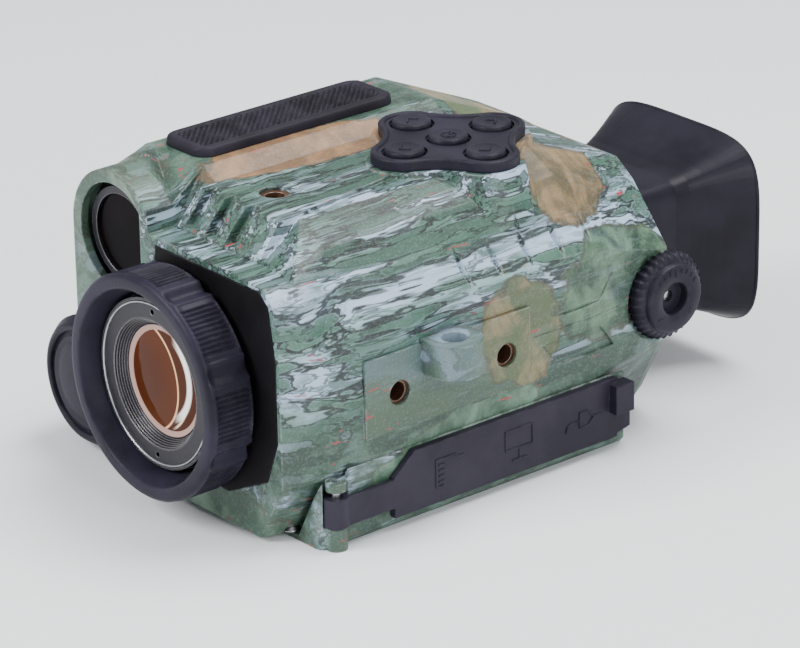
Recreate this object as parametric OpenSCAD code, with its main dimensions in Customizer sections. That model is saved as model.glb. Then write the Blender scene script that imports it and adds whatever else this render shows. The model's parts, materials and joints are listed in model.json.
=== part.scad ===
// Hand-held digital night-vision rangefinder: one objective, a lamp tube beside it, a screen
// behind the eyepiece, keys on top and a row of ports along the right side.
// Lengths are in millimetres. -Y is the side that faces the target, +Y the eye, +Z is up.
// Modules are drawn about the middle of the objective's front rim; in_frame() then puts the
// origin at the mouth of the tripod thread, on the plane that the foot rests on.

/* [Housing] */
// Length of the housing, from its front face to its rear face
body_l = 132.6; // [110:0.1:160]
// From the objective's axis to the right side wall
side_x = 44.4; // [42:0.1:54]
// From the objective's axis down to the housing's floor
floor_d = 37; // [35:0.1:45]
// Height of the top deck above the objective's axis
deck_z = 42.5; // [41:0.1:52]
// Thickness of the moulded walls
wall = 2.4; // [1.6:0.1:3]
// Height of the joint between the two shells above the objective's axis
part_z = 1.2; // [0.5:0.1:3]
// Height of the foot below the housing's floor
foot_h = 1.6; // [1.2:0.1:3]

/* [Objective] */
// Outer radius of the focus ring
ring_r = 30.4; // [29:0.1:37]
// Length of the focus ring along its axis
ring_l = 13.8; // [11.5:0.1:16.6]
// Radius of the fixed barrel that the focus ring turns on
barrel_r = 22.5; // [21.5:0.1:24]
// Radius of the sliding lens cell
cell_r = 19.5; // [18.8:0.1:20.5]
// Radius of the front lens
lens_r = 15.6; // [14:0.1:16.2]
// Travel of the lens cell each way from the middle
focus_travel = 1.2; // [0.6:0.1:1.4]

/* [Lamp] */
// Outer radius of the lamp's housing lobe
lobe_r = 18.4; // [17.6:0.1:20]
// Outer radius of the lamp tube
lamp_r = 13.2; // [12:0.1:13.4]
// Length of the lamp tube
lamp_l = 46; // [38:0.5:56]

/* [Battery] */
// Radius of one cell
battery_r = 7.1; // [6:0.1:7.2]
// Length of one cell
battery_l = 50.5; // [44:0.1:60]
// Radius of the battery cap
cap_r = 18.4; // [18:0.1:21]
// Length of the cap's knurled part
cap_l = 10; // [8:0.1:12]

/* [Keys] */
// Radius of one key
key_r = 5.3; // [4.4:0.1:6.4]
// Distance from the middle key to each of the outer keys
key_pitch = 15.2; // [14:0.1:18.2]
// Distance that a key travels
key_travel = 0.9; // [0.5:0.1:1.2]
// Radius of the key plate's rounded arms
arm_r = 9; // [8.2:0.1:11]

/* [Eyepiece] */
// Radius of the sliding eyepiece cell
eye_cell_r = 15.5; // [14:0.1:15.8]
// Half width of the eyecup's rim
cup_w = 31.4; // [26:0.1:38]
// Half height of the eyecup's rim
cup_h = 28; // [24:0.1:34]
// Length of the eyecup
cup_l = 43; // [36:0.1:52]
// Thickness of the eyecup's rubber
cup_wall = 2; // [1.5:0.1:2.4]

/* [Dial] */
// Radius of the dial's face
dial_face_r = 9; // [7.5:0.1:11]
// Radius of the dial's knurled rim
dial_r = 12.5; // [11.2:0.1:15]
// Thickness of the dial
dial_l = 5.9; // [5:0.1:8]

/* [Fastening] */
// Radius of the bore of a quarter-inch tripod insert
thread_r = 2.6; // [2.5:0.05:2.8]
// Outer radius of a tripod insert
insert_r = 4.2; // [3.8:0.1:4.6]
// Radius of the hole in front of a side insert
mouth_r = 3.4; // [3.2:0.1:3.6]
// Length of a tripod insert
insert_l = 7.5; // [6:0.1:9]
// Distance between the two inserts in the side block
side_pitch = 36.4; // [30:0.1:43.7]
// Radius of the lanyard hole
lanyard_r = 3.5; // [3:0.1:4.2]
// Radius of a housing screw
screw_r = 1.25; // [1:0.05:1.5]

/* [Hidden] */

camo = "#8fa39a";
black = "#3c3a42";
metal = "#b9bcc2";
brass = "#b08d4a";
board = "#2f6b46";
glass = "#c98f5a";

// gaps between pieces
fit = 0.05;        // a sliding or turning fit, on the radius
slack = 0.3;       // between pieces that move past each other
seam = 0.1;        // between two shells or a lid and its seat
lap = 0.5;         // how far a cut runs past a face

// the housing's stations along Y
front_y = ring_l + 1.8;
brow_y = front_y + 8.4;
full_y = front_y + 22.4;
rear_y = front_y + body_l;
fall_y = rear_y - 32;
turn_y = rear_y - 4;
floor_z = -floor_d;
rest_z = floor_z - foot_h;

// the housing's outline
nose_x = side_x - 5.8;
left_x = -48.4;
lobe = [left_x + lobe_r, 47.4 - lobe_r];
top_left_z = deck_z + 3.7;
corner_r = 6;
nose_z = deck_z - 8.3;
tail_z = deck_z - 8.5;
shoulder = 9.2;

// the battery's place
battery = [left_x + 0.4, -cap_r];
bundle_r = battery_r * (1 + 2 / sqrt(3));
tube_in = bundle_r + 0.6;
tube_out = tube_in + 1.5;
tube_shell = max(tube_out + seam + 1.4, cap_r + 0.6);
cap_y = front_y + 0.4;
seat_y = cap_y + cap_l + slack;
cell_y = seat_y + 3;
tube_end = cell_y + battery_l + 6;

// the objective
cell_y0 = 4.9;
head_l = 2.7;
cell_end = 34;
barrel_y0 = cell_y0 + head_l + focus_travel + 0.8;
barrel_end = 48;
head_r = cell_r + 3.7;
lens_y0 = cell_y0 + 3.6;
lens_y1 = lens_y0 + 3.5;
rear_lens_r = 0.76 * lens_r;
ring_bore = head_r + 0.4;
collar_y = front_y + wall;

// the keys
key_x = 7.8;
key_y = fall_y - 17.8;
plate_t = 2.5;
pad_z = deck_z + 1.5;                 // top of the platform below the key plate
plate_top = pad_z + plate_t;
key_top = plate_top + 0.9;
waist = key_pitch * cos(45) + arm_r - 2.1;
key_places = [[0, -1], [0, 1], [-1, 0], [1, 0], [0, 0]];
flange_z = pad_z - wall - 0.4;

// the eyepiece and its drive
axle_r = 1.5;
axle_y = rear_y - wall - axle_r - slack;
pinion_teeth = 12;
tooth_module = 0.5;
pinion_r = pinion_teeth * tooth_module / 2;
tooth_pitch = PI * tooth_module;
bush_r = axle_r + 1.4;
drive_x = eye_cell_r + 0.4;
drive_w = 1.7;
neck_w = 21;
neck_h = 19.5;
cup_y = rear_y + seam;
eye_y0 = rear_y - 18;
eye_y1 = rear_y + 13;
dial_x = side_x - 2.5;

// the foot, the ports and their cover
foot_y0 = front_y + 8.4;
foot_y1 = rear_y - 20;
foot_left = -30;
port_z = -26.2;
port_ys = [58, 84, 107.5];
cover_z0 = -34.8;
cover_z1 = -17.6;
cover_gap = 0.3;
cover_t = 1.9;
cover_y0 = 46;
cover_y1 = 124;
hinge = [side_x - 0.2, foot_y0 + 4.5];
hinge_top = -19.6;
eye_r = 3.4;
eye_z = [-32, -24];
pin_r = 1.2;

// fasteners
side_y = 67.6;
side_z = -0.7;
block_x = side_x + 0.9;
block_y = [38, 94];
block_z = [-11, 10.8];
lug = [block_x + 4.3, 64.2];
lug_r = lanyard_r + 4;
top_hole = [2.3, full_y + 6];
ridge_z = deck_z + 1;
vent_d = 3.4;
insert_in = 1.2;    // how deep the inserts sit behind their mouths
tripod_y = 80;
screw_places = [[30.5, front_y + 8.6], [30.5, fall_y + 9], [-30.5, tube_end + 9], [-30.5, fall_y + 14]];
base_places = [[-22, foot_y0 + 8], [26, foot_y0 + 10], [-22, foot_y1 - 6], [26, foot_y1 - 6]];
base_screw_l = 5;

module in_frame() translate([0, -tripod_y, -rest_z]) children();
module along_y() rotate([-90, 0, 0]) children();
module along_x() rotate([0, 90, 0]) children();
// an outline in X and Z, carried from y0 to y1
module wall_y(y0, y1) translate([0, y1, 0]) rotate([90, 0, 0]) linear_extrude(y1 - y0) children();
// an outline in Y and Z, carried from x0 to x1
module wall_x(x0, x1) translate([x0, 0, 0]) rotate([90, 0, 90]) linear_extrude(x1 - x0) children();
module disc_y(r, y0, y1) translate([0, y0, 0]) along_y() cylinder(r = r, h = y1 - y0, $fn = 96);
module disc_x(r, x0, x1) translate([x0, 0, 0]) along_x() cylinder(r = r, h = x1 - x0, $fn = 72);
module block(a, b) translate(a) cube(b - a);

function unit(v) = v / norm(v);
function arc(c, r, a0, a1, n) = [for (i = [0 : n]) let (a = a0 + (a1 - a0) * i / n) c + r * [cos(a), sin(a)]];
function at_y(outline, y) = [for (p = outline) [p[0], y, p[1]]];
// every corner of a counter-clockwise outline moved inwards by e
function inset(p, e) = [for (i = [0 : len(p) - 1])
    let (n = len(p), u = unit(p[i] - p[(i + n - 1) % n]), v = unit(p[(i + 1) % n] - p[i]),
         nu = [-u[1], u[0]], nv = [-v[1], v[0]])
    p[i] + e * (nu + nv) / (1 + nu * nv)];

// a closed skin through rings of equal length, the first nearest -Y; each end is a fan about the
// hub, a point in X and Z that sees the whole outline
module loft(rings, hub) {
    n = len(rings[0]);
    m = len(rings);
    last = (m - 1) * n;
    sides = [for (k = [0 : m - 2]) for (i = [0 : n - 1])
        let (a = k * n + i, b = k * n + (i + 1) % n)
        each [[a, b, b + n], [a, b + n, a + n]]];
    front = [for (i = [0 : n - 1]) [m * n, (i + 1) % n, i]];
    back = [for (i = [0 : n - 1]) [m * n + 1, last + i, last + (i + 1) % n]];
    hubs = [[hub[0], rings[0][0][1], hub[1]], [hub[0], rings[m - 1][0][1], hub[1]]];
    polyhedron(concat([for (r = rings) each r], hubs), concat(sides, front, back));
}

// ---------------------------------------------------------------- housing

function nose_outline(grow) = concat(
    [[nose_x + grow, floor_z + 17], [nose_x + grow, nose_z - 20], [nose_x + grow - 1.8, nose_z - 5],
     [nose_x + grow - 6, nose_z - 1], [20, nose_z], [-14.8, nose_z], [lobe[0] + lobe_r * cos(38), lobe[1] + lobe_r * sin(38)]],
    arc(lobe, lobe_r, 48, 180, 16),
    [[left_x, part_z], [left_x, floor_z + 19], [-34, floor_z], [29 + grow, floor_z]]);

function full_outline(w, top, r, foot, edge) = concat(
    [[w, foot + 20], [w, top - 21.7], [w - shoulder * 0.85, top - 12.5],
     [w - 14.4, top - 5], [20, top], [-14, top], [-20, top + edge]],
    arc([left_x + (side_x - w) * 0.5 + r, top + edge - r], r, 90, 180, 16),
    [[left_x + (side_x - w) * 0.5, part_z], [left_x + (side_x - w) * 0.5, foot + 19], [-34, foot], [w - 10.4, foot]]);

// the housing's outside, with its skin moved inwards by e
module shell_form(e) {
    mid = full_outline(side_x, deck_z, corner_r, floor_z, 3.7);
    tail = full_outline(side_x - 2.9, tail_z, corner_r + 3, floor_z + 3, 0.6);
    loft([at_y(inset(nose_outline(0), e), front_y + e),
        at_y(inset(nose_outline(2.2), e), brow_y),
        at_y(inset(mid, e), full_y),
        at_y(inset(mid, e), fall_y),
        at_y(inset(tail, e), turn_y),
        at_y(inset(tail, max(e, 1.8)), rear_y - e)], [-16, 4]);
}

// the raised ridge behind the vents, widest at its front
module ridge(e) {
    intersection() {
        wall_x(-13.6 + e, 21 - e)
            polygon([[brow_y + 2 * e, nose_z - wall - lap], [brow_y + 2 * e, nose_z + 0.6], [brow_y + 7.8 + 2 * e, ridge_z - e],
                [key_y - arm_r, ridge_z - e], [key_y - arm_r, nose_z - wall - lap]]);
        linear_extrude(100, center = true)
            polygon([[-13.6 + e, brow_y - 1], [21 - e, brow_y - 1], [9 - e, key_y], [-13.6 + e, key_y]]);
    }
}

// the plate and its platform: four round arms with hollow sides between them
module clover(grow) {
    r = arm_r + grow;
    w = waist + grow;
    // the circle that hollows a side touches both of its neighbouring arms
    cut_r = (pow(w, 2) - 2 * w * key_pitch * cos(45) + pow(key_pitch, 2) - pow(r, 2))
        / (2 * (r - w + key_pitch * cos(45)));
    c = (w + cut_r) * cos(45);
    t = unit([c - key_pitch, c]) * r + [key_pitch, 0];
    translate([key_x, key_y]) {
        for (a = [0 : 90 : 270]) rotate(a) {
            translate([key_pitch, 0]) circle(r = r, $fn = 64);
            difference() {
                polygon([[0, 0], [key_pitch, 0], t, [t[1], t[0]], [0, key_pitch]]);
                translate([c, c]) circle(r = cut_r, $fn = 96);
            }
        }
    }
}

module bezel_outline(grow) {
    x = nose_x - 1.4;
    left = lobe[0] + 3.5;
    offset_points = inset([[x, -8], [x, nose_z - 20], [x - 2.4, nose_z - 5.4], [x - 6, nose_z - 2.2],
        [-12, nose_z - 2.2], [-13, lobe[1] - 7], [-18, lobe[1] - 15.5], [left, lobe[1] - 20],
        [left, -18], [-20, -27], [16, -28], [x - 4.6, -20]], -grow);
    polygon(offset_points);
}

// the space above the joint between the shells; it climbs over the side block and at the nose
module above_joint(gap) {
    far = 200;
    wall_x(-far, 0) polygon([[-far, part_z + gap], [far, part_z + gap], [far, far], [-far, far]]);
    wall_x(0, far) polygon([[-far, part_z + 4 + gap], [front_y, part_z + 4 + gap], [full_y - 6, part_z + gap],
        [block_y[0] - gap, part_z + gap], [block_y[0] - gap, block_z[1] + gap], [block_y[1] + gap, block_z[1] + gap],
        [block_y[1] + gap, part_z + gap], [far, part_z + gap], [far, far], [-far, far]]);
}

// the three slanted slots in the front of the ridge
// a sunk panel in the lower shell and an engraved line in the upper, on the right side; both
// follow the wall where it turns in towards the eyepiece
module side_marks() {
    turn = atan2(2.9, turn_y - fall_y);
    translate([side_x, fall_y, 0]) {
        wall_x(-0.7, 2) polygon([[-11.4, -8.9], [0.1, -9.1], [0.1, -2.4], [-17.2, -2.3]]);
        rotate([0, 0, turn]) wall_x(-0.7, 2) polygon([[0, -9.1], [9.3, -9.2], [4.1, -2.5], [0, -2.4]]);
        wall_x(-0.5, 2) polygon([[-11.6, 4.7], [0.2, 4.9], [0.2, 5.8], [-11.6, 5.6]]);
        rotate([0, 0, turn]) wall_x(-0.5, 2)
            polygon([[-0.2, 5.05], [3.4, 5.05], [9.1, 11.5], [8.5, 12], [3, 5.65], [-0.2, 5.65]]);
    }
}

module vents() {
    for (i = [-1 : 1])
        wall_x(-0.7 + 8.4 * i - 2.1, -0.7 + 8.4 * i + 2.1)
            polygon([[brow_y - 3, nose_z + 0.9], [brow_y + vent_d, nose_z + 0.9], [brow_y + vent_d + 7.8, ridge_z + 0.3],
                [brow_y + vent_d + 7.8, ridge_z + 3], [brow_y - 3, ridge_z + 3]]);
}

// the five lens-shaped notches along the right shoulder, each cut by the edge of a double cone
module shoulder_notches() {
    slope = atan2(9.2, shoulder * 0.85);
    for (i = [0 : 4])
        translate([side_x - shoulder * 0.425, full_y + 37 + 10.7 * i, deck_z - 17.1])
            rotate([0, slope - 90, 0]) translate([10.4, 0, 0])
                along_y() rotate_extrude($fn = 64) polygon([[8, -3], [12, 0], [8, 3]]);
}

module screw_bosses(r) {
    for (p = screw_places) translate([p[0], p[1], floor_z]) cylinder(r = r, h = 90, $fn = 32);
}

// the tube-shaped lobe that holds the battery, and the well that its cap turns in
module battery_lobe() {
    translate([battery[0], 0, battery[1]]) {
        disc_y(tube_shell, seat_y, tube_end + 2);
    }
    intersection() {
        shell_form(0);
        translate([battery[0], 0, battery[1]]) disc_y(cap_r + slack + 1.6, front_y, seat_y + wall);
    }
}

module battery_space() {
    translate([battery[0], 0, battery[1]]) {
        disc_y(cap_r + slack, front_y - lap, seat_y);
        disc_y(tube_out + fit, front_y, tube_end);
    }
}

module lamp_space() {
    // the mouth is cut off straight on the side of the objective
    intersection() {
        translate([lobe[0], 0, lobe[1]]) disc_y(lamp_r + 1.7, front_y - lap, front_y + wall + lap);
        block([-100, front_y - 1, -100], [lobe[0] + 11.3, rear_y, 100]);
    }
}

module openings_in_housing() {
    wall_y(front_y - lap, front_y + wall + lap) bezel_outline(seam);
    wall_y(rear_y - wall - lap, rear_y + lap)
        square([2 * (drive_x + drive_w + slack), 2 * (eye_cell_r + slack)], center = true);
    translate([0, axle_y, 0]) disc_x(bush_r + fit, side_x - 9, side_x + 1);
    translate([0, axle_y, 0]) disc_x(dial_r + 0.4, dial_x - 0.4, side_x + 1);
    for (s = [-0.5, 0.5]) translate([0, side_y + s * side_pitch, side_z]) {
        disc_x(insert_r + fit, block_x - 20, block_x - insert_in);
        disc_x(mouth_r, block_x - 20, block_x + lap);
    }
    battery_space();
    lamp_space();
}

module upper_housing() color(camo) {
    intersection() {
        difference() {
            union() {
                shell_form(0);
                ridge(0);
                translate([0, 0, pad_z - 14]) linear_extrude(14) clover(1.4);
                // the platform's arms flare out to the deck and the shoulder
                for (p = key_places) translate([key_x + key_pitch * p[0], key_y + key_pitch * p[1], pad_z - 14])
                    cylinder(r1 = arm_r + 6, r2 = arm_r + 1.4, h = 14, $fn = 64);
            }
            difference() {
                union() {
                    shell_form(wall);
                    ridge(wall);
                    translate([0, 0, pad_z - 14 - lap]) linear_extrude(14 + lap - wall) clover(1.4 - wall);
                }
                screw_bosses(screw_r + 1.9);
                translate([top_hole[0], top_hole[1], ridge_z - insert_l - 1]) cylinder(r = insert_r + 1.8, h = 20, $fn = 48);
                for (a = [45 : 90 : 315]) translate([key_x, key_y, 0]) rotate(a) translate([11.4, 0, switch_top - 2.4])
                    cylinder(r = 1.6, h = 20, $fn = 24);
            }
            translate([0, 0, floor_z - lap]) screw_bosses(screw_r + fit);
            for (p = key_places) translate([key_x + key_pitch * p[0], key_y + key_pitch * p[1], pad_z - 20])
                cylinder(r = key_r + slack, h = 40, $fn = 48);
            translate([top_hole[0], top_hole[1], ridge_z - insert_l]) cylinder(r = insert_r + fit, h = 20, $fn = 48);
            openings_in_housing();
            vents();
            shoulder_notches();
            side_marks();
        }
        above_joint(seam / 2);
    }
}

module lug_form() {
    difference() {
        translate([lug[0], lug[1], 2.6]) cylinder(r = lug_r, h = 9.3, $fn = 64);
        block([side_x - 9, lug[1] - lug_r - 1, 2], [side_x + seam, lug[1] + lug_r + 1, 13]);
    }
    block([side_x + seam, lug[1] - lug_r, 2.6], [lug[0], lug[1] + lug_r, 11.9]);
}

module lower_housing() color(camo) {
    difference() {
        union() {
            difference() {
                union() {
                    shell_form(0);
                    block([side_x - 6, block_y[0], block_z[0]], [block_x, block_y[1], block_z[1]]);
                }
                above_joint(-seam / 2);
                difference() {
                    shell_form(wall);
                    screw_bosses(screw_r + 1.9);
                    translate([0, tripod_y, floor_z]) cylinder(r = insert_r + 2, h = insert_l + 0.6, $fn = 48);
                    for (s = [-0.5, 0.5]) translate([0, side_y + s * side_pitch, side_z])
                        disc_x(insert_r + 2, side_x - 8, side_x);
                    for (p = base_places) translate([p[0], p[1], floor_z])
                        cylinder(r = 3, h = base_screw_l + 1, $fn = 32);
                    for (x = [-18, 26], y = [54, fall_y - 8]) translate([x, y, floor_z])
                        cylinder(r = 2, h = board_z - board_t - fit - floor_z, $fn = 24);
                    // the rib that the screen leans on
                    block([-18, fall_y - 2, floor_z], [18, fall_y, -part_z]);
                }
            }
            difference() {
                battery_lobe();
                above_joint(-seam / 2);
            }
            lug_form();
        }
        // the lobe and the lug are whole, so what passes through them is cut last
        openings_in_housing();
        translate([lug[0], lug[1], -lap]) cylinder(r = lanyard_r, h = 20, $fn = 48);
        translate([0, tripod_y, rest_z]) cylinder(r = insert_r + fit, h = insert_l + 0.3, $fn = 48);
        translate([0, 0, -lap]) screw_bosses(screw_r + fit);
        for (p = screw_places) translate([p[0], p[1], floor_z - lap])
            cylinder(r = 2 * screw_r + 0.1, h = lap + screw_r + 0.6, $fn = 32);
        for (p = base_places) translate([p[0], p[1], floor_z - lap])
            cylinder(r = screw_r + fit, h = base_screw_l + lap, $fn = 24);
        for (i = [0 : 2]) port_window(i, side_x - 16, side_x + 5);
        side_marks();
    }
}

// the foot: a floor under the housing and a side wall that carries the ports' cover
module base_plate() color(camo) {
    difference() {
        union() {
            difference() {
                wall_y(foot_y0, foot_y1) polygon([[foot_left, rest_z], [side_x - 1.5, rest_z], [side_x, rest_z + 1.5],
                    [side_x, floor_z + 20 - seam], [side_x - 10.4, floor_z - seam], [foot_left, floor_z - seam]]);
                // the front outer edge is rounded about the hinge
                difference() {
                    block([hinge[0] - 4, foot_y0 - lap, rest_z - 1], [side_x + 4, hinge[1], 0]);
                    translate([hinge[0] - 4, hinge[1], rest_z - 2]) cylinder(r = 4.5, h = 60, $fn = 48);
                }
                translate([hinge[0], hinge[1], eye_z[0] - slack]) cylinder(r = eye_r + slack, h = 40, $fn = 48);
            }
            translate([hinge[0], hinge[1], rest_z]) cylinder(r = eye_r - 0.6, h = eye_z[0] - slack - rest_z, $fn = 48);
            translate([hinge[0], hinge[1], eye_z[1] + 2]) cylinder(r = eye_r - 0.6, h = hinge_top - eye_z[1] - 2, $fn = 48);
            block([hinge[0] - 1.6, hinge[1] - 1, eye_z[1] + 2], [hinge[0], hinge[1] + eye_r + 2, hinge_top]);
        }
        translate([hinge[0], hinge[1], rest_z + 1]) cylinder(r = pin_r + fit, h = 40, $fn = 32);
        translate([0, tripod_y, rest_z - lap]) cylinder(r = insert_r + fit, h = 10, $fn = 48);
        for (p = base_places) translate([p[0], p[1], rest_z - lap]) cylinder(r = screw_r + fit, h = 10, $fn = 24);
        for (p = base_places) translate([p[0], p[1], rest_z])
            cylinder(r1 = 2 * screw_r + 0.2, r2 = screw_r + 0.1, h = screw_r + 0.2, $fn = 32);
        for (i = [0 : 2]) port_window(i, side_x - 16, side_x + 5);
    }
}

module grip_outline(e) {
    y0 = full_y + 2 + e;
    y1 = fall_y - 9 - e;
    x0 = -42.2 + e;
    x1 = -23.2 - e;
    polygon([[x1, y0 + 5], [x1, y1 - 5], [x1 - 3, y1], [x0 + 5, y1], [x0, y1 - 6], [x0, y0 + 3], [x0 + 3, y0], [x1 - 5, y0]]);
}

module grip_pad() color(black) translate([0, 0, top_left_z + seam / 2]) {
    linear_extrude(1.5) grip_outline(0);
    translate([0, 0, 1.5]) linear_extrude(1) grip_outline(1.2);
}

// ---------------------------------------------------------------- objective

module front_bezel() color(black) {
    difference() {
        union() {
            wall_y(front_y - seam, collar_y + 0.4) bezel_outline(0);
            disc_y(barrel_r + 4.5, ring_l + 0.5, front_y - seam);
        }
        disc_y(barrel_r + fit, 0, front_y + wall + 2);
    }
}

module objective_barrel() color(metal) difference() {
    union() {
        disc_y(barrel_r, barrel_y0, barrel_end);
        disc_y(barrel_r + 5, collar_y + 0.4 + fit, collar_y + 2.4);
    }
    disc_y(cell_r + fit, 0, barrel_end - 2);
    block([-9, barrel_end - 3, -8], [9, barrel_end + 1, 8]);
}

module focus_ring() color(black) difference() {
    along_y() rotate_extrude($fn = 128) polygon([[ring_r - 3.6, 0], [ring_r - 0.8, 0], [ring_r, 0.8],
        [ring_r, ring_l - 0.6], [ring_r - 0.6, ring_l], [barrel_r + fit, ring_l], [barrel_r + fit, barrel_y0 - 0.4],
        [ring_bore, barrel_y0 - 0.4], [ring_bore, cell_y0 - 0.6]]);
    for (i = [0 : 7]) rotate([0, 22.5 + 45 * i, 0]) translate([ring_r + 5.2, 0, 0]) disc_y(6, 2.2, ring_l + 1);
}

module objective_cell() color(metal) along_y() rotate_extrude($fn = 96)
    polygon([[head_r, cell_y0], [head_r, cell_y0 + head_l], [cell_r, cell_y0 + head_l], [cell_r, cell_end],
        [rear_lens_r - 0.9, cell_end], [rear_lens_r - 0.9, cell_end - 2.8], [rear_lens_r + fit, cell_end - 2.8],
        [rear_lens_r + fit, cell_end - 7.6], [rear_lens_r + 1.5, cell_end - 7.6], [rear_lens_r + 1.5, 20],
        [lens_r - 1.2, lens_y1 + fit], [lens_r + fit, lens_y1 + fit], [lens_r + fit, lens_y0],
        [lens_r + 2.6, cell_y0 + 2.1], [head_r - 0.6, cell_y0 + 2.1], [head_r - 0.6, cell_y0]]);

module objective_retainer() color(black) difference() {
    along_y() rotate_extrude($fn = 96) polygon([[lens_r + 2.2, cell_y0], [head_r - 0.6 - fit, cell_y0],
        [head_r - 0.6 - fit, cell_y0 + 2], [lens_r + 2.4, cell_y0 + 2], [lens_r - fit, lens_y0 - 0.1],
        [lens_r - 0.5, lens_y0 - 0.1]]);
    for (a = [90, 270]) rotate([0, a, 0]) translate([lens_r + 4.4, 0, 0]) disc_y(0.8, cell_y0 - lap, cell_y0 + 1.2);
}

function sag(r, radius) = radius - sqrt(pow(radius, 2) - pow(r, 2));
// a lens about Y: its rim runs from y0 to y1 and its faces bulge out by arcs of these radii
module lens(r, y0, y1, front, back) along_y() rotate_extrude($fn = 72)
    polygon(concat([for (i = [0 : 8]) let (q = r * i / 8) [q, y0 - sag(r, front) + sag(q, front)]],
        [for (i = [8 : -1 : 0]) let (q = r * i / 8) [q, y1 + sag(r, back) - sag(q, back)]]));

flat = 2000;       // an arc this wide is a flat face
module front_lens() color(glass) lens(lens_r - fit, lens_y0, lens_y1, 120, flat);
module rear_lens() color(glass) lens(rear_lens_r, cell_end - 4.8, cell_end - 2.85, 50, flat);

module image_sensor() color("#20242c") block([-8, barrel_end - 2.6, -7], [8, barrel_end + fit, 7]);

module sensor_board() color(board) block([-20, barrel_end + 2 * fit, -20], [20, barrel_end + 1.7, 20]);

// ---------------------------------------------------------------- lamp

module at_lamp() translate([lobe[0], collar_y + seam, lobe[1]]) children();

module lamp_tube() color(black) at_lamp() along_y() rotate_extrude($fn = 96)
    polygon([[lamp_r - 1.9, 0], [lamp_r, 0], [lamp_r, 5.9], [lamp_r - 0.9, 5.9], [lamp_r - 0.9, lamp_l],
        [lamp_r - 2.8, lamp_l], [lamp_r - 2.8, 3.2], [lamp_r - 1.9, 3.2]]);

// the ring that seats the lamp tube in its lobe
module lamp_holder() color(black) at_lamp() difference() {
    disc_y(lobe_r - wall - slack, 2.7, 5.7);
    disc_y(lamp_r + fit, 2, 6);
    // cut off beside the valley between the lobe and the ridge
    block([lobe_r - 7, 2, -30], [30, 7, 30]);
}

module lamp_window() color("#2a2228") at_lamp() disc_y(lamp_r - 1.9 - fit, 1, 3.15);

module lamp_emitter() color("#d9d4c4") at_lamp() {
    disc_y(lamp_r - 2.8 - fit, lamp_l - 20, lamp_l - 18.4);
    difference() {
        translate([0, lamp_l - 20, 0]) sphere(r = 3, $fn = 32);
        block([-4, lamp_l - 20, -4], [4, lamp_l - 12, 4]);
    }
}

module lamp_heatsink() color(metal) at_lamp() {
    disc_y(lamp_r - 2.8 - fit, lamp_l - 18.3, lamp_l - 15);
    for (i = [-2 : 2]) block([i * 3.4 - 0.6, lamp_l - 15, -7], [i * 3.4 + 0.6, lamp_l - 2, 7]);
}

// ---------------------------------------------------------------- battery

module at_battery() translate([battery[0], 0, battery[1]]) children();

module battery_tube() color(metal) at_battery() difference() {
    disc_y(tube_out, seat_y + fit, tube_end - fit);
    disc_y(tube_in, seat_y - 1, tube_end - 1.4);
}

module battery_cap() color(black) at_battery() difference() {
    union() {
        along_y() rotate_extrude($fn = 120) polygon([[0, cap_y], [cap_r - 1.6, cap_y], [cap_r, cap_y + 2.2],
            [cap_r, cap_y + cap_l], [0, cap_y + cap_l]]);
        disc_y(tube_in - 0.2, cap_y + cap_l, seat_y + 2.2);
    }
    // a shallow ring groove in the face
    along_y() rotate_extrude($fn = 96) translate([cap_r * 0.72, cap_y - 0.1]) square([1.4, 0.9]);
    // the groove that holds the seal
    along_y() rotate_extrude($fn = 96) translate([tube_in - 1.4, seat_y + 0.2]) square([2, 1.4]);
    for (i = [0 : 35]) rotate([0, 10 * i, 0]) translate([cap_r + 0.25, 0, 0])
        disc_y(0.7, cap_y + 3.4, cap_y + cap_l + 1);
}

module cap_seal() color("#26242a") at_battery() along_y() rotate_extrude($fn = 96)
    translate([tube_in - 0.73, seat_y + 0.9]) circle(r = 0.62, $fn = 24);

module cap_contact() color(metal) at_battery() disc_y(tube_in - 2.4, seat_y + 2.25, seat_y + 2.6);

module battery_cells() color("#c8a23c") at_battery() for (a = [90, 210, 330])
    rotate([0, a, 0]) translate([battery_r * 2 / sqrt(3) + 0.15, 0, 0]) {
        disc_y(battery_r, cell_y + 1, cell_y + battery_l);
        disc_y(2.7, cell_y, cell_y + 1);
    }

module battery_contacts() color("#c9c9c9") at_battery() {
    disc_y(tube_in - 0.2, tube_end - 3.1, tube_end - 1.5);
    // three bent leaf springs press on the cells
    for (a = [90, 210, 330]) rotate([0, a, 0]) translate([battery_r * 2 / sqrt(3), 0, 0])
        linear_extrude(4, center = true)
            polygon([[-4, tube_end - 3.1], [-4, tube_end - 3.5], [3.4, tube_end - 5.7], [3.6, tube_end - 5.3],
                [-2.2, tube_end - 3.6], [-2.2, tube_end - 3.1]]);
}

// ---------------------------------------------------------------- keys

module key_plate() color(black) difference() {
    translate([0, 0, pad_z + seam / 2]) linear_extrude(plate_t - seam / 2) clover(0);
    for (p = key_places) translate([key_x + key_pitch * p[0], key_y + key_pitch * p[1], 0]) {
        translate([0, 0, pad_z - lap]) cylinder(r = key_r + slack, h = plate_t + 2, $fn = 64);
        translate([0, 0, plate_top - 0.8]) cylinder(r = key_r + 0.8, h = 2, $fn = 64);
    }
}

module key(i) color(black)
    translate([key_x + key_pitch * key_places[i][0], key_y + key_pitch * key_places[i][1], 0]) {
        translate([0, 0, flange_z - 1]) cylinder(r = key_r, h = key_top - flange_z + 0.6, $fn = 64);
        translate([0, 0, key_top - 0.4]) cylinder(r = key_r - 0.5, h = 0.4, $fn = 64);
        translate([0, 0, flange_z - 1.2]) cylinder(r = key_r + 1, h = 1.2, $fn = 64);
    }

module key_front() key(0);
module key_rear() key(1);
module key_left() key(2);
module key_right() key(3);
module key_center() key(4);

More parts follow.
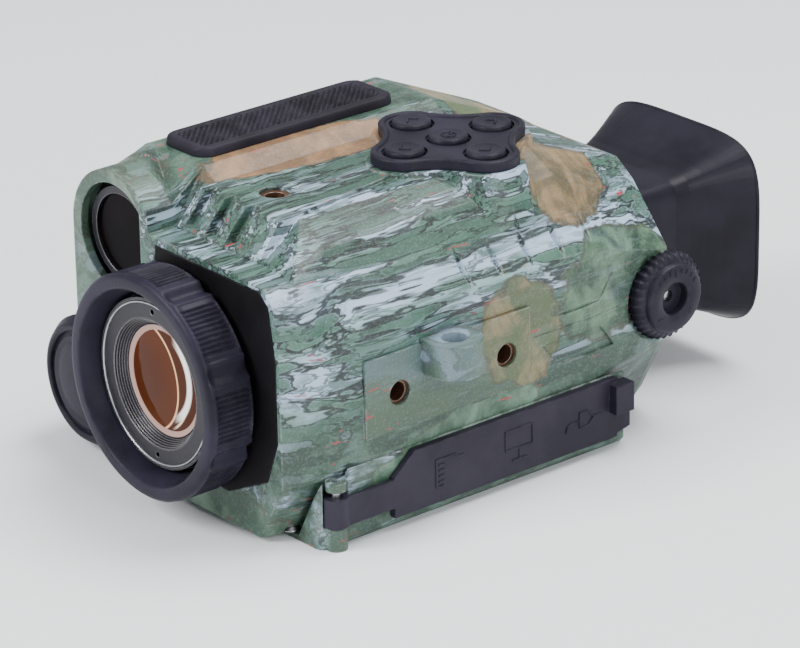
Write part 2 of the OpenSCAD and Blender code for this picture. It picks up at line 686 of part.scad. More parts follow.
switch_top = flange_z - 1.2 - key_travel - slack;
module key_switches() color(metal) for (p = key_places)
    translate([key_x + key_pitch * p[0], key_y + key_pitch * p[1], switch_top - 2.5]) {
        linear_extrude(1.8) square(6, center = true);
        translate([0, 0, 1.8]) cylinder(r = 1.7, h = 0.7, $fn = 24);
    }

module key_board() color(board) translate([0, 0, switch_top - 4.15]) linear_extrude(1.6)
    translate([key_x, key_y]) {
        for (a = [0, 90]) rotate(a) square([2 * key_pitch + 11, 13], center = true);
        circle(r = key_pitch * 0.8, $fn = 64);
    }

// ---------------------------------------------------------------- eyepiece

module at_axle() translate([0, axle_y, 0]) children();

module diopter_dial() color(black) at_axle() difference() {
    along_x() rotate_extrude($fn = 96) polygon([[0, dial_x], [dial_r - 0.4, dial_x], [dial_r, dial_x + 0.4],
        [dial_r, dial_x + 1.6], [dial_face_r + 0.3, dial_x + dial_l - 0.3], [dial_face_r, dial_x + dial_l],
        [0, dial_x + dial_l]]);
    disc_x(dial_face_r * 0.5, dial_x + dial_l - 3, dial_x + dial_l + 1);
    disc_x(axle_r + fit, dial_x - 1, dial_x + 2);
    for (i = [0 : 31]) rotate([360 / 32 * i, 0, 0]) translate([dial_x - 1, dial_r + 0.3, 0])
        along_x() cylinder(r = 0.75, h = 5, $fn = 16);
}

module dial_shaft() color(metal) at_axle() {
    disc_x(axle_r, drive_x + drive_w, dial_x + 1.9);
    translate([drive_x, 0, 0]) along_x() linear_extrude(drive_w) {
        circle(r = pinion_r - 0.6, $fn = 48);
        for (i = [0 : pinion_teeth - 1]) rotate(360 / pinion_teeth * i)
            polygon([[pinion_r - 0.8, -0.42], [pinion_r + 0.4, -0.14], [pinion_r + 0.4, 0.14], [pinion_r - 0.8, 0.42]]);
    }
}

module dial_bush() color(brass) at_axle() difference() {
    disc_x(bush_r, side_x - 8.5, dial_x - 0.5);
    disc_x(axle_r + fit, side_x - 9, side_x);
}

module eyepiece_cell() color(black) {
    difference() {
        union() {
            disc_y(eye_cell_r, eye_y0, eye_y1);
            block([eye_cell_r - 1.5, axle_y - 8, -pinion_r - 4], [drive_x + drive_w, axle_y + 6, -pinion_r - 0.6]);
        }
        disc_y(eye_cell_r - 2.4, eye_y0 + 3, eye_y1 - 2);
        disc_y(eye_cell_r - 3.6, eye_y0 - 1, eye_y1 + 1);
    }
    // the rack under the pinion; a gap faces the pinion's axis at rest
    for (i = [-4 : 3]) translate([0, axle_y + (i + 0.5) * tooth_pitch, -pinion_r])
        wall_x(drive_x, drive_x + drive_w)
            polygon([[-0.42, -0.7], [0.42, -0.7], [0.14, 0.4], [-0.14, 0.4]]);
}

module eye_lens() color(glass) lens(eye_cell_r - 2.45, eye_y1 - 4.4, eye_y1 - 2.05, 45, flat);
module field_lens() color(glass) lens(eye_cell_r - 2.45, eye_y0 + 3.05, eye_y0 + 5.2, flat, 55);

module eyepiece_tube() color(black) difference() {
    union() {
        wall_y(rear_y + seam / 2, rear_y + 5) polygon(squircle(neck_w - cup_wall - seam, neck_h - cup_wall - seam, 9));
        disc_y(eye_cell_r + 1.8, rear_y, rear_y + 18);
    }
    disc_y(eye_cell_r + fit, rear_y - 1, rear_y + 20);
    // room for the rack's end
    block([eye_cell_r - 2, rear_y - 1, -pinion_r - 4.4], [drive_x + drive_w + 0.3, axle_y + 8.6, -pinion_r + 0.8]);
}

// a rounded rectangle of half sizes a and b whose sides bulge less as the power p grows
function squircle(a, b, p) = [for (i = [0 : 63]) let (t = 360 * i / 64)
    [a * sign(cos(t)) * pow(abs(cos(t)), 2 / p), b * sign(sin(t)) * pow(abs(sin(t)), 2 / p)]];

// the cup flares from the neck like a trumpet, its corners tightening as it grows
function cup_ring(e, t) = let (k = pow(t, 1.35))
    squircle(neck_w - e + (cup_w - neck_w) * k, neck_h - e + (cup_h - neck_h) * k, 9 - 4.4 * t);

module cup_form(e, over) {
    flare = cup_y + cup_l * 0.49;
    loft(concat([at_y(cup_ring(e, 0), cup_y - over)],
        [for (i = [0 : 5]) at_y(cup_ring(e, i / 5), flare + (cup_y + cup_l - flare) * i / 5 + (i == 5 ? over : 0))]),
        [0, 0]);
}

module eyecup() color(black) difference() {
    cup_form(0, 0);
    cup_form(cup_wall, 0.01);
}

module display_module() color("#1d2026") {
    block([-18, fall_y + fit, -16], [18, fall_y + 1.8, 16]);
    block([-14, fall_y + 1.85, -11], [14, fall_y + 5, 11]);
}

// ---------------------------------------------------------------- electronics and ports

port_sizes = [[13, 2.6], [8, 8], [9, 5]];
board_z = port_z - 5.6;
board_t = 1.6;

module port_window(i, x0, x1) block([x0, port_ys[i] - port_sizes[i][0] / 2 - 0.3, port_z - port_sizes[i][1] / 2 - 0.3],
    [x1, port_ys[i] + port_sizes[i][0] / 2 + 0.3, port_z + port_sizes[i][1] / 2 + 0.3]);

module main_board() color(board) difference() {
    block([-21, 50, board_z - board_t], [side_x - 14, fall_y - 3, board_z]);
    translate([0, tripod_y, board_z - 3]) cylinder(r = insert_r + 2.4, h = 6, $fn = 48);
}

module board_chips() color("#25272c") {
    block([-14, 60, board_z + fit], [0, 73, board_z + 1.6]);
    block([6, 64, board_z + fit], [14, 71, board_z + 1.2]);
    block([-16, 92, board_z + fit], [-8, 104, board_z + 1.4]);
}

// a metal socket standing on the board, with its mouth at the side wall
module socket(i) {
    w = port_sizes[i][0];
    h = port_sizes[i][1];
    x1 = side_x - 2;
    difference() {
        union() {
            block([x1 - 18, port_ys[i] - w / 2, port_z - h / 2], [x1, port_ys[i] + w / 2, port_z + h / 2]);
            block([x1 - 18, port_ys[i] - w / 2 + 1, board_z + fit], [x1 - 13, port_ys[i] + w / 2 - 1, port_z]);
        }
        children();
    }
}

module card_socket() color(metal) socket(0)
    block([side_x - 16, port_ys[0] - 5.6, port_z - 0.5], [side_x, port_ys[0] + 5.6, port_z + 0.5]);

module video_socket() color("#2b2d33") socket(1)
    translate([0, port_ys[1], port_z]) disc_x(1.8, side_x - 16, side_x);

module usb_socket() color(metal) socket(2)
    block([side_x - 11, port_ys[2] - 3.9, port_z - 1.9], [side_x, port_ys[2] + 3.9, port_z + 1.9]);

// the rubber strip over the ports: hinge eye, strap, cover and pull tab
module port_cover() color(black) {
    x0 = side_x + cover_gap;
    difference() {
        union() {
            translate([hinge[0], hinge[1], eye_z[0]]) cylinder(r = eye_r, h = eye_z[1] - eye_z[0], $fn = 48);
            block([x0 + 0.7, hinge[1], eye_z[0]], [x0 + cover_t, cover_y0 + 1, eye_z[1]]);
            wall_x(x0, x0 + cover_t) polygon([[cover_y0, cover_z0 + 2], [cover_y0, cover_z0], [cover_y1, cover_z0], [cover_y1, cover_z0 + 1],
                [cover_y1 + 4.5, cover_z0 + 2], [cover_y1 + 4.5, cover_z1 - 8], [cover_y1, cover_z1 - 6], [cover_y1, cover_z1],
                [cover_y0 + 7, cover_z1], [cover_y0, cover_z1 - 6]]);
            // the pull tab
            block([x0 + 0.6, cover_y1 - 3, cover_z1 - 9.4], [x0 + cover_t + 2.9, cover_y1 + 3.4, cover_z1 - 1.2]);
            for (i = [0 : 2]) port_plug(i);
        }
        translate([hinge[0], hinge[1], -60]) cylinder(r = pin_r + fit, h = 60, $fn = 32);
    }
}

// a short plug on the back of the cover, inside the port's window
module port_plug(i) block([side_x - 1, port_ys[i] - port_sizes[i][0] / 2 + 0.4, port_z - port_sizes[i][1] / 2 + 0.4],
    [side_x + cover_gap + fit, port_ys[i] + port_sizes[i][0] / 2 - 0.4, port_z + port_sizes[i][1] / 2 - 0.4]);

module cover_pin() color(metal) translate([hinge[0], hinge[1], rest_z + 1.05])
    cylinder(r = pin_r, h = hinge_top - rest_z - 1.4, $fn = 32);

// ---------------------------------------------------------------- fasteners

module insert_form(l) difference() {
    cylinder(r = insert_r, h = l, $fn = 64);
    translate([0, 0, -1]) cylinder(r = thread_r, h = l + 2, $fn = 64);
}

module side_inserts() color(brass) for (s = [-0.5, 0.5])
    translate([block_x - insert_in - insert_l, side_y + s * side_pitch, side_z]) along_x()
        insert_form(insert_l - fit);

module top_insert() color(brass) translate([top_hole[0], top_hole[1], ridge_z - insert_l + fit]) insert_form(insert_l - 1);

module base_insert() color(brass) translate([0, tripod_y, rest_z]) insert_form(insert_l);

// a countersunk screw, head down
module screw(l) {
    rotate_extrude($fn = 32) polygon([[0, 0], [2 * screw_r, 0], [screw_r, screw_r], [screw_r, l], [0, l]]);
}

module housing_screws() color(metal) for (p = screw_places)
    translate([p[0], p[1], floor_z + 0.6]) difference() {
        screw(part_z - floor_z + 7);
        translate([0, 0, -1]) cylinder(r = screw_r * 0.7, h = 1.7, $fn = 6);
    }

module base_screws() color(metal) for (p = base_places)
    translate([p[0], p[1], rest_z + 0.1]) difference() {
        screw(base_screw_l);
        translate([0, 0, -1]) cylinder(r = screw_r * 0.7, h = 1.7, $fn = 6);
    }

in_frame() upper_housing();
in_frame() lower_housing();
in_frame() base_plate();
in_frame() front_bezel();
in_frame() objective_barrel();
in_frame() focus_ring();
in_frame() objective_cell();
in_frame() objective_retainer();
in_frame() front_lens();
in_frame() rear_lens();
in_frame() image_sensor();
in_frame() sensor_board();
in_frame() lamp_tube();
in_frame() lamp_holder();
in_frame() lamp_window();
in_frame() lamp_emitter();
in_frame() lamp_heatsink();
in_frame() battery_tube();
in_frame() battery_cap();
in_frame() cap_seal();
in_frame() cap_contact();
in_frame() battery_cells();
in_frame() battery_contacts();
in_frame() grip_pad();
in_frame() key_plate();
in_frame() key_front();
in_frame() key_rear();
in_frame() key_left();
in_frame() key_right();
in_frame() key_center();
in_frame() key_switches();
in_frame() key_board();
in_frame() diopter_dial();
in_frame() dial_shaft();
in_frame() dial_bush();
in_frame() eyepiece_cell();
in_frame() eye_lens();
in_frame() field_lens();
in_frame() eyepiece_tube();
in_frame() eyecup();
in_frame() display_module();
in_frame() main_board();
in_frame() board_chips();
in_frame() card_socket();
in_frame() video_socket();
in_frame() usb_socket();
in_frame() port_cover();
in_frame() cover_pin();
in_frame() side_inserts();
in_frame() top_insert();
in_frame() base_insert();
in_frame() housing_screws();
in_frame() base_screws();
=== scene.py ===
"""Looks for the hand-held rangefinder: a finish for every CAD piece, and the fine pieces that only
show: the ribbed focus ring, the studded grip, the lens's baffle rings, the key caps, the beads and
lips, and the raised signs. Sizes in the pieces are in millimetres, from ORIGIN."""

import json
import math

import bpy
import numpy as np
from mathutils import Matrix, Vector


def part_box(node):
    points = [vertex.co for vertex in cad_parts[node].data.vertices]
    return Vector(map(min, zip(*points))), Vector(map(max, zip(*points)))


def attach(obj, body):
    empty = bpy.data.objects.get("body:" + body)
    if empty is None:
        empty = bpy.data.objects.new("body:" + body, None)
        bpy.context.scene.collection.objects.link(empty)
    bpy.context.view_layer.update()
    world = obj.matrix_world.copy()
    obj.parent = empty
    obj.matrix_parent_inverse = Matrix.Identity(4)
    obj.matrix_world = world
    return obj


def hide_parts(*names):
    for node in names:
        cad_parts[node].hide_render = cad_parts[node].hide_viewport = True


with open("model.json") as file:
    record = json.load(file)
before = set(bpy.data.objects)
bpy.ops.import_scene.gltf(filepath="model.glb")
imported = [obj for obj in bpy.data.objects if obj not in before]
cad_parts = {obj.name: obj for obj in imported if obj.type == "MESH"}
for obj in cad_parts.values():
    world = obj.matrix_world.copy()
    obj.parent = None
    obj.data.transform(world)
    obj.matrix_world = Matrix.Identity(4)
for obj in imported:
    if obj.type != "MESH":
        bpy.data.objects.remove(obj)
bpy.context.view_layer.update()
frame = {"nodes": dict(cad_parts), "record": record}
record = frame["record"]
SLOT_OF = {s["node"]: s["material_slot"] for s in record["subparts"]}

MM = 0.001
# the objective's axis, where it meets the front rim of the focus ring
_ring_lo, _ring_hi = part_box("focus_ring")
ORIGIN = np.array([0.0, _ring_lo[1], (_ring_lo[2] + _ring_hi[2]) / 2])


def tint(code):
    """The linear colour of a hex code such as #c8d2dc."""
    values = [int(code[i : i + 2], 16) / 255 for i in (1, 3, 5)]
    linear = [v / 12.92 if v <= 0.04045 else ((v + 0.055) / 1.055) ** 2.4 for v in values]
    return (*linear, 1.0)


# ------------------------------------------------------------------ shader expressions


class Term:
    """One value in a material: Python's operators on it add Math nodes."""

    def __init__(self, paint, socket):
        self.paint, self.socket = paint, socket

    def math(self, operation, *others):
        inputs = dict(enumerate([self, *others]))
        node = self.paint.node("ShaderNodeMath", {"operation": operation}, inputs)
        return Term(self.paint, node.outputs[0])

    def __add__(self, other):
        return self.math("ADD", other)

    def __sub__(self, other):
        return self.math("SUBTRACT", other)

    def __mul__(self, other):
        return self.math("MULTIPLY", other)

    def __truediv__(self, other):
        return self.math("DIVIDE", other)

    def __abs__(self):
        return self.math("ABSOLUTE")

    def __pow__(self, other):
        return self.math("POWER", other)

    def above(self, low, high):
        """0 below low, 1 above high, smooth between; with low above high it falls instead."""
        node = self.paint.node(
            "ShaderNodeMapRange",
            {"interpolation_type": "SMOOTHSTEP", "clamp": True},
            {"Value": self, "From Min": low, "From Max": high, "To Min": 0.0, "To Max": 1.0},
        )
        return Term(self.paint, node.outputs["Result"])

    def most(self, other):
        return self.math("MAXIMUM", other)

    def wave(self):
        return self.math("SINE")


class Paint:
    """A material under construction."""

    def __init__(self, name):
        self.material = bpy.data.materials.new(name)
        self.material.use_nodes = True
        self.tree = self.material.node_tree
        self.tree.nodes.clear()
        self._where = None

    def node(self, kind, settings=None, inputs=None):
        """A new node. An input is a value, a socket or a Term; None leaves it as it is."""
        made = self.tree.nodes.new(kind)
        for key, value in (settings or {}).items():
            setattr(made, key, value)
        for key, value in (inputs or {}).items():
            if value is None:
                continue
            if isinstance(value, Term):
                value = value.socket
            if isinstance(value, bpy.types.NodeSocket):
                self.tree.links.new(value, made.inputs[key])
            else:
                made.inputs[key].default_value = value
        return made

    def where(self):
        """The point being shaded, in the object's own coordinates."""
        if self._where is None:
            self._where = self.node("ShaderNodeTexCoord").outputs["Object"]
        return self._where

    def axis(self, i):
        """Object coordinate i, in metres."""
        return Term(self, self.node("ShaderNodeSeparateXYZ", None, {0: self.where()}).outputs[i])

    def placed(self, stretch, turn=(0, 0, 0)):
        """The point stretched and then turned, which draws a noise out along an axis."""
        return self.node(
            "ShaderNodeMapping",
            {"vector_type": "POINT"},
            {"Vector": self.where(), "Scale": stretch, "Rotation": turn},
        ).outputs[0]

    def noise(self, scale, detail=3.0, rough=0.5, twist=0.0, vector=None):
        place = {"Vector": vector or self.where(), "Scale": scale}
        kind = {"Detail": detail, "Roughness": rough, "Distortion": twist}
        return Term(self, self.node("ShaderNodeTexNoise", None, place | kind).outputs["Fac"])

    def warped(self, vector, scale, amount):
        """The vector pushed about by a soft noise, by up to half the amount each way."""

        def vector_math(operation, inputs):
            return self.node("ShaderNodeVectorMath", {"operation": operation}, inputs).outputs[0]

        place = {"Vector": self.where(), "Scale": scale, "Detail": 2.0}
        noise = self.node("ShaderNodeTexNoise", None, place).outputs["Color"]
        centred = vector_math("SUBTRACT", {0: noise, 1: (0.5, 0.5, 0.5)})
        grown = vector_math("SCALE", {0: centred, "Scale": amount})
        return vector_math("ADD", {0: vector, 1: grown})

    def mix(self, factor, a, b):
        """Colour a where the factor is 0, and b where it is 1. A colour Mix node has its two
        colours at inputs 6 and 7 and its result at output 2."""
        settings = {"data_type": "RGBA", "clamp_factor": True}
        return self.node("ShaderNodeMix", settings, {"Factor": factor, 6: a, 7: b}).outputs[2]

    def edge(self, radius):
        """A normal rounded over the sharp edges, and how near an edge each point is, 0 to 1."""
        soft = self.node("ShaderNodeBevel", {"samples": 4}, {"Radius": radius})
        flat = self.node("ShaderNodeNewGeometry")
        dot = self.node(
            "ShaderNodeVectorMath",
            {"operation": "DOT_PRODUCT"},
            {0: soft.outputs[0], 1: flat.outputs["True Normal"]},
        )
        return soft.outputs[0], Term(self, dot.outputs["Value"]).above(0.995, 0.86)

    def bump(self, height, depth, normal):
        """The normal tipped by a height from 0 to 1 that stands for the depth, in metres."""
        inputs = {"Height": height, "Distance": depth, "Strength": 1.0, "Normal": normal}
        return self.node("ShaderNodeBump", None, inputs).outputs[0]

    def finish(self, **sockets):
        """The material, with each keyword set on the input of that name: base_color, roughness."""
        names = {k.replace("_", " ").title().replace("Ior", "IOR"): v for k, v in sockets.items()}
        shader = self.node("ShaderNodeBsdfPrincipled", None, names)
        self.node("ShaderNodeOutputMaterial", None, {"Surface": shader.outputs[0]})
        return self.material


# ------------------------------------------------------------------ finishes


def moulded(name, body, light, rough, grain=900.0, depth=0.00006):
    """Moulded plastic or rubber: fine pitted grain, faint cloudy tone, scuffed pale edges."""
    p = Paint(name)
    cloud = p.noise(60.0, 4.0, 0.55)
    pits = p.noise(grain, 3.0, 0.6)
    normal, edge = p.edge(0.0006)
    scuff = edge * p.noise(240.0, 3.0, 0.7).above(0.42, 0.62)
    colour = p.mix(cloud.above(0.3, 0.7), tint(body), tint(light))
    colour = p.mix(pits.above(0.62, 0.8) * 0.35, colour, tint(light))
    colour = p.mix(scuff * 0.25, colour, tint("#5f5b68"))
    return p.finish(
        base_color=colour,
        roughness=(cloud - 0.5) * 0.18 + (pits - 0.5) * 0.1 + rough,
        specular_ior_level=0.13,
        normal=p.bump(pits, depth, normal),
    )


def camo_shell():
    """A printed bark-and-leaf pattern: pale plates split by dark lines that run along the body,
    green hollows between them, eleven large leaves in tan, olive and green, a pale grey-blue patch
    over the lug that is a painted highlight, and rust-red specks."""
    p = Paint("camo shell")
    flow = p.warped(p.placed((1.0, 0.11, 1.0), (0.07, 0.0, -0.05)), 34.0, 0.0045)
    plates = p.noise(190.0, 3.0, 0.55, 0.1, flow)
    lines = p.noise(430.0, 2.5, 0.6, 0.1, flow)
    shade = p.noise(95.0, 3.0, 0.6, 0.0, flow)
    cluster = p.noise(42.0, 2.0, 0.5)
    hatch = p.noise(1500.0, 1.0, 0.5)
    height = p.axis(2) - float(ORIGIN[2])
    low = height.above(0.006, -0.014)
    colour = p.mix(shade.above(0.40, 0.62), tint("#a6bacf"), tint("#6f9088"))
    colour = p.mix(plates.above(0.50, 0.56) * 0.85, colour, tint("#3d6251"))
    hollow = lines.above(0.52, 0.60) * cluster.above(0.40, 0.54)
    colour = p.mix(hollow * 0.8, colour, tint("#335646"))
    crack_fine = abs(lines - 0.5).above(0.045, 0.015) * cluster.above(0.34, 0.50)
    crack = abs(plates - 0.5).above(0.036, 0.014)
    colour = p.mix(crack_fine * 0.75, colour, tint("#1f3028"))
    colour = p.mix(crack * 0.92, colour, tint("#0e1612"))
    deck = height.above(0.024, 0.034)
    streak = p.noise(300.0, 3.0, 0.6, 0.1, flow)
    colour = p.mix(deck * streak.above(0.44, 0.54) * 0.8, colour, tint("#2c4a3d"))
    colour = p.mix(deck * abs(streak - 0.5).above(0.035, 0.012) * 0.9, colour, tint("#101a15"))
    # the lower half is greener and softer, with mottled olive
    mottle = p.noise(75.0, 3.0, 0.6, 0.4)
    moss = p.mix(mottle.above(0.40, 0.60), tint("#4c6455"), tint("#253d2e"))
    moss = p.mix(p.noise(130.0, 3.0, 0.6, 0.2, flow).above(0.55, 0.63), moss, tint("#22352a"))
    colour = p.mix(low * mottle.above(0.30, 0.52) * 0.9, colour, moss)

    # the lobe over the lamp is a soft grey green; the side block is plain but for a shadowed foot
    left = p.axis(0).above(-0.014, -0.024)
    lobe = p.mix(mottle.above(0.35, 0.62), tint("#4e6656"), tint("#253b2d"))
    colour = p.mix(left * 0.85, colour, lobe)
    block = p.axis(0).above(0.0447, 0.0450)
    plain = p.mix(height.above(0.006, -0.006), tint("#4f6266"), tint("#33493c"))
    plain = p.mix(mottle.above(0.42, 0.6) * 0.6, plain, tint("#46583f"))
    colour = p.mix(block * 0.85, colour, plain)

    def leaf(place, radii, turn, tone, dark):
        """One leaf: a ragged ellipsoid patch about a point on the shell, with fine veins."""
        centre = [place[i] * MM + float(ORIGIN[i]) for i in range(3)]
        scale = [r * MM for r in radii]
        turned = p.node(
            "ShaderNodeMapping",
            {"vector_type": "TEXTURE"},
            {"Vector": p.where(), "Location": centre, "Rotation": turn, "Scale": scale},
        ).outputs[0]
        length = p.node("ShaderNodeVectorMath", {"operation": "LENGTH"}, {0: turned})
        reach = Term(p, length.outputs["Value"])
        ragged = reach + (p.noise(70.0, 3.0, 0.6) - 0.5) * 0.9
        along = Term(p, p.node("ShaderNodeSeparateXYZ", None, {0: turned}).outputs[0])
        across = Term(p, p.node("ShaderNodeSeparateXYZ", None, {0: turned}).outputs[1])
        vein = (across * 26.0 + along * 9.0 + p.noise(40.0, 2.0) * 9.0).wave().above(0.1, 0.8)
        body = p.mix(p.noise(85.0, 3.0, 0.6, 0.4).above(0.36, 0.62), tint(tone), tint(dark))
        body = p.mix(vein * 0.28, body, tint(dark))
        rim = abs(ragged - 0.93).above(0.05, 0.015)
        return ragged.above(0.98, 0.92) * 0.92, body, rim * 0.6

    # each leaf: its middle, its half sizes, its turn, its tone and its darker tone
    leaves = [
        ((-15.0, 72.0, 46.0), (10.0, 38.0, 12.0), (0.0, 0.0, -0.10), "#94704c", "#6f5236"),
        ((25.0, 118.0, 33.0), (15.0, 17.0, 16.0), (0.0, 0.0, 0.3), "#8d7450", "#544a30"),
        ((45.0, 92.0, 4.0), (9.0, 15.0, 17.0), (0.5, 0.0, 0.0), "#7d7150", "#4a5636"),
        ((44.0, 126.0, 10.0), (10.0, 24.0, 17.0), (0.3, 0.0, 0.0), "#567459", "#1f3829"),
        ((42.0, 70.0, -20.0), (10.0, 30.0, 9.0), (0.2, 0.0, 0.0), "#66836f", "#33523d"),
        ((-25.0, 132.0, 40.0), (18.0, 14.0, 16.0), (0.0, 0.0, 0.5), "#98805e", "#566444"),
        ((-34.0, 22.0, 34.0), (15.0, 22.0, 14.0), (0.0, 0.0, 0.2), "#667c6c", "#334b3b"),
        ((10.0, 20.0, -34.0), (26.0, 20.0, 9.0), (0.0, 0.0, 0.2), "#6d8872", "#2c4836"),
        ((-46.0, 60.0, 5.0), (10.0, 30.0, 20.0), (0.3, 0.0, 0.0), "#7a8662", "#384a30"),
        ((-40.0, 110.0, 0.0), (16.0, 22.0, 20.0), (0.0, 0.0, 0.0), "#8c7450", "#534a34"),
        # a painted highlight in the leaves' form: a pale grey-blue patch over the lug so that it
        # stands out
        ((48.0, 64.2, 7.5), (7.5, 8.5, 8.0), (0.0, 0.0, 0.0), "#8296a6", "#5f747c"),
        ((0.0, 145.0, 20.0), (24.0, 12.0, 16.0), (0.0, 0.0, 0.2), "#86704f", "#46543a"),
    ]
    for place, radii, turn, tone, dark in leaves:
        patch, body, rim = leaf(place, radii, turn, tone, dark)
        colour = p.mix(patch, colour, body)
        colour = p.mix(rim, colour, tint("#3a3a2c"))
    rust = p.noise(560.0, 2.0, 0.5, 0.0, flow).above(0.68, 0.71) * cluster.above(0.45, 0.55)
    colour = p.mix(rust * 0.9, colour, tint("#9c3038"))
    colour = p.mix(hatch.above(0.5, 0.7) * 0.06, colour, tint("#c8d2d8"))
    normal, edge = p.edge(0.0008)
    scuff = edge * p.noise(200.0, 3.0, 0.7).above(0.45, 0.62)
    colour = p.mix(scuff * 0.25, colour, tint("#dfe6e6"))
    return p.finish(
        base_color=colour,
        roughness=(plates - 0.5) * 0.2 + 0.46,
        normal=p.bump(hatch + plates * 0.8 + crack * -0.5, 0.00006, normal),
    )


def metal(name, body, light, rough, metallic=1.0):
    """Machined metal: brushed streaks, a cloudy tone and bright worn edges."""
    p = Paint(name)
    streak = p.noise(700.0, 2.0, 0.6, 0.0, p.placed((1.0, 0.06, 1.0)))
    cloud = p.noise(90.0, 3.0, 0.5)
    normal, edge = p.edge(0.0003)
    colour = p.mix(streak.above(0.3, 0.7) * 0.6, tint(body), tint(light))
    colour = p.mix(edge * 0.4, colour, tint("#d8d8da"))
    return p.finish(
        base_color=colour,
        metallic=metallic,
        roughness=(streak - 0.5) * 0.2 + (cloud - 0.5) * 0.15 + rough,
        normal=p.bump(streak, 0.00002, normal),
    )


def coated_glass():
    """The front lens, painted on an opaque surface: an amber pool on one side, a painted dark
    reflection on the other, painted bright arcs of reflection between them, and a pale ground edge
    all round, under a hard gloss."""
    p = Paint("coated glass")
    x, z = p.axis(0), p.axis(2) - float(ORIGIN[2])
    swirl = p.noise(60.0, 2.0, 0.5)

    def from_point(cx, cz):
        """How far each point is from (cx, cz) on the lens, in millimetres."""
        dx, dz = x - cx * MM, z - cz * MM
        return (dx * dx + dz * dz) ** 0.5 * 1000.0

    radius = from_point(0.0, 0.0)
    pool = from_point(-9.0, -1.0)
    # painted reflection: the amber pool, with a painted dark reflection beyond its edge
    colour = p.mix(pool.above(15.0, 15.4), tint("#43200f"), tint("#190907"))
    colour = p.mix(pool.above(4.0, 16.0) * 0.5, colour, tint("#5a3018"))
    # painted highlights: a bright rim on the pool, then a bright arc and a white flare on the right
    colour = p.mix(abs(pool - 15.2).above(0.45, 0.1), colour, tint("#e2b48a"))
    arc = abs(from_point(-5.0, 0.5) - 15.4).above(0.5, 0.1) * x.above(0.002, 0.006)
    colour = p.mix(arc, colour, tint("#f1d9c2"))
    flare = abs(from_point(-1.5, 1.2) - 12.2).above(1.3, 0.5) * x.above(0.003, 0.008)
    colour = p.mix(flare, colour, tint("#fbf6f2"))
    colour = p.mix(radius.above(13.6, 13.75), colour, tint("#a98a80"))
    colour = p.mix(radius.above(15.0, 15.2), colour, tint("#3a3038"))
    return p.finish(
        base_color=colour,
        roughness=(swirl - 0.5) * 0.03 + 0.07,
        specular_ior_level=0.05,
        coat_weight=0.05,
        coat_roughness=0.02,
    )


def gloss(name, body, light, rough=0.12, scale=120.0, shine=0.5):
    """A glossy cover or resin with faint smears."""
    p = Paint(name)
    smear = p.noise(scale, 4.0, 0.6)
    normal, _ = p.edge(0.0002)
    return p.finish(
        base_color=p.mix(smear.above(0.35, 0.7), tint(body), tint(light)),
        roughness=(smear - 0.5) * 0.12 + rough,
        specular_ior_level=shine,
        normal=normal,
    )


def circuit_board():
    """Green solder mask over paler copper tracks, with small plated dots."""
    p = Paint("circuit board")
    bricks = {"Vector": p.where(), "Scale": 260.0, "Mortar Size": 0.06}
    track = p.node("ShaderNodeTexBrick", None, bricks)
    dot = p.node("ShaderNodeTexVoronoi", {"feature": "F1"}, {"Vector": p.where(), "Scale": 380.0})
    dots = Term(p, dot.outputs["Distance"]).above(0.16, 0.1)
    colour = p.mix(Term(p, track.outputs["Fac"]), tint("#1f5236"), tint("#2f7048"))
    colour = p.mix(dots, colour, tint("#c8a862"))
    return p.finish(base_color=colour, roughness=dots * -0.2 + 0.45, metallic=dots * 0.8)


def cell_jacket():
    """The cells' printed jacket: a coloured band above a dark one, with a bare metal end."""
    p = Paint("cell jacket")
    y = p.axis(1)
    low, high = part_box("battery_cells")
    share = (y - float(low[1])) / float(high[1] - low[1])
    scratch = p.noise(500.0, 2.0, 0.6)
    end = share.above(0.035, 0.03).most(share.above(0.985, 0.99))
    colour = p.mix(share.above(0.30, 0.305), tint("#b98a34"), tint("#26262b"))
    colour = p.mix(end, colour, tint("#c9cacd"))
    return p.finish(base_color=colour, metallic=end * 0.9, roughness=(scratch - 0.5) * 0.15 + 0.32)


MATERIALS = {
    "camo_shell": camo_shell(),
    "black_plastic": moulded("black plastic", "#18161f", "#24222d", 0.42),
    "ring_rubber": moulded("ring rubber", "#1a1822", "#282533", 0.42, 1100.0),
    "grip_rubber": moulded("grip rubber", "#1b191f", "#29262f", 0.5, 900.0, 0.00005),
    "key_rubber": moulded("key rubber", "#1b1a23", "#292632", 0.42, 1300.0, 0.00003),
    "cover_rubber": moulded("cover rubber", "#25222c", "#302d38", 0.45, 1200.0, 0.00004),
    "cup_rubber": moulded("cup rubber", "#17151d", "#22202a", 0.38, 1300.0, 0.00002),
    "seal_rubber": moulded("seal rubber", "#141316", "#1e1c21", 0.45),
    "black_metal": metal("black metal", "#1c1a20", "#2b2831", 0.36, 0.5),
    "plain_metal": metal("plain metal", "#a9acb0", "#c9cbcf", 0.32),
    "spring_steel": metal("spring steel", "#b4b6ba", "#d2d3d6", 0.28),
    "brass": metal("brass", "#5d4030", "#7d5940", 0.42, 0.7),
    "coated_glass": coated_glass(),
    "lamp_glass": gloss("lamp glass", "#060305", "#100a0c", 0.25, 60.0, 0.03),
    "sensor": gloss("sensor", "#191d26", "#262c3a", 0.1),
    "screen": gloss("screen", "#10141a", "#1d2530", 0.1),
    "chip_resin": gloss("chip resin", "#1d1e21", "#2b2c30", 0.45, 400.0),
    "emitter": gloss("emitter", "#cfc7b0", "#e6e0cd", 0.2),
    "circuit_board": circuit_board(),
    "cell_jacket": cell_jacket(),
}

for node_name, node_object in frame["nodes"].items():
    node_object.data.materials.clear()
    node_object.data.materials.append(MATERIALS[SLOT_OF[node_name]])

